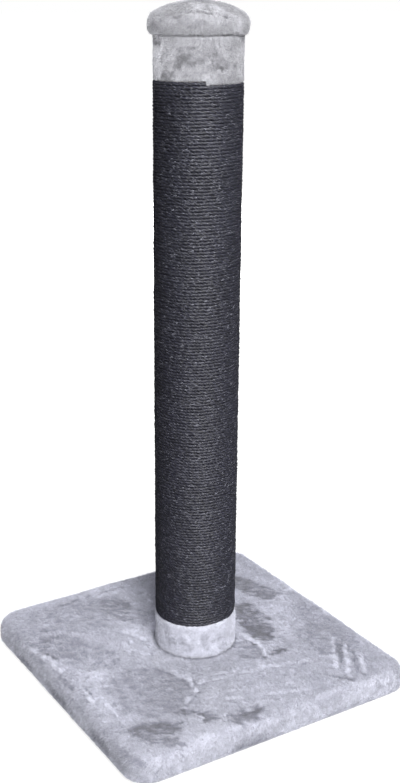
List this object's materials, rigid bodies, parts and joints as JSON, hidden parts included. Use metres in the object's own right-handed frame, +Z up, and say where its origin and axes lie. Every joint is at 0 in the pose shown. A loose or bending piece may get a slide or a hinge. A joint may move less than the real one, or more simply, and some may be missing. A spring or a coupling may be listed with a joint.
{
  "type": "cat scratching post",
  "caption": "Free-standing scratching post: square plush-covered base, tall tube wound with dark sisal rope between plush bands, and a padded dome cap.",
  "frame": {"origin": "on the floor under the middle of the base", "axes": "+Z up along the post; X and Y along the base's sides, -Y towards the front"},
  "size_m": [0.59, 0.59, 1.2315],
  "materials": {
    "plush": "short soft pile, pale grey, brushed in patches",
    "sisal": "rough twisted fibre rope, dyed charcoal grey",
    "chipboard": "pressed chips, sanded faces",
    "fibreboard": "smooth pressed fibre",
    "cardboard": "spiral-wound board, matt",
    "foam": "soft upholstery foam",
    "rubber": "matt black",
    "zinc_steel": "bright zinc-plated steel"
  },
  "bodies": {
    "root": {"base_lower_board": "chipboard", "base_upper_board": "chipboard", "base_plush_cover": "plush", "board_screws": "zinc_steel", "cover_staples": "zinc_steel", "foot_screws": "zinc_steel", "rubber_foot_front_left": "rubber", "rubber_foot_front_right": "rubber", "rubber_foot_rear_left": "rubber", "rubber_foot_rear_right": "rubber", "post_bolt": "zinc_steel", "bolt_washer": "zinc_steel", "post_tube": "cardboard", "bottom_plug": "fibreboard", "bottom_tee_nut": "zinc_steel", "bottom_plug_screws": "zinc_steel", "top_plug": "fibreboard", "top_plug_screws": "zinc_steel", "lower_plush_collar": "plush", "rope_lower_turns": "sisal", "rope_middle_turns": "sisal", "rope_upper_turns": "sisal", "upper_plush_sleeve": "plush", "cap_board": "fibreboard", "cap_screws": "zinc_steel", "cap_foam": "foam", "cap_plush_cover": "plush", "cap_staples": "zinc_steel"}
  },
  "joints": []
}
